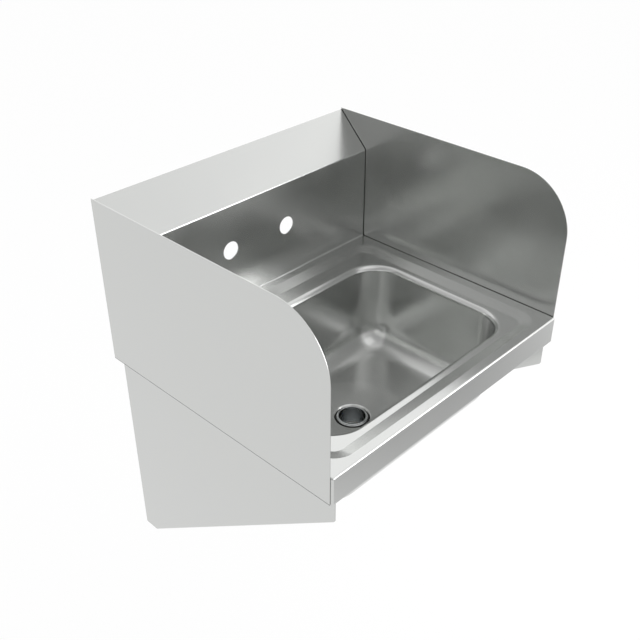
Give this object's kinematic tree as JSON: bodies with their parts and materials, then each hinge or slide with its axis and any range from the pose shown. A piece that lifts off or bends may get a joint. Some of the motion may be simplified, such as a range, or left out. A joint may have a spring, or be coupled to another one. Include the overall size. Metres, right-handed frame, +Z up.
{
  "type": "hand basin",
  "caption": "Wall-hung stainless steel hand basin with a deep drawn bowl, a leaning back splash, side splashes, skirt brackets and a clamped drain.",
  "frame": {"origin": "middle of the wall hook's hole pattern, on the wall's face", "axes": "+X to the right for a person who stands at the basin, +Y into the wall, +Z up"},
  "size_m": [0.4318, 0.3905, 0.5333],
  "materials": {
    "stainless": "satin",
    "galvanised": "dull zinc",
    "drain_chrome": "polished",
    "nut_chrome": "polished",
    "black_rubber": "matte",
    "fibre": "matte",
    "nylon": "matte"
  },
  "bodies": {
    "root": {"basin_body": "stainless", "left_side_splash": "stainless", "right_side_splash": "stainless", "left_skirt": "stainless", "right_skirt": "stainless", "wall_hook": "galvanised", "drain_body": "drain_chrome", "flange_seal": "black_rubber", "rubber_washer": "black_rubber", "slip_ring": "fibre", "drain_locknut": "nut_chrome", "tailpiece_washer": "nylon", "tailpiece": "drain_chrome", "coupling_nut": "nut_chrome"}
  },
  "joints": []
}
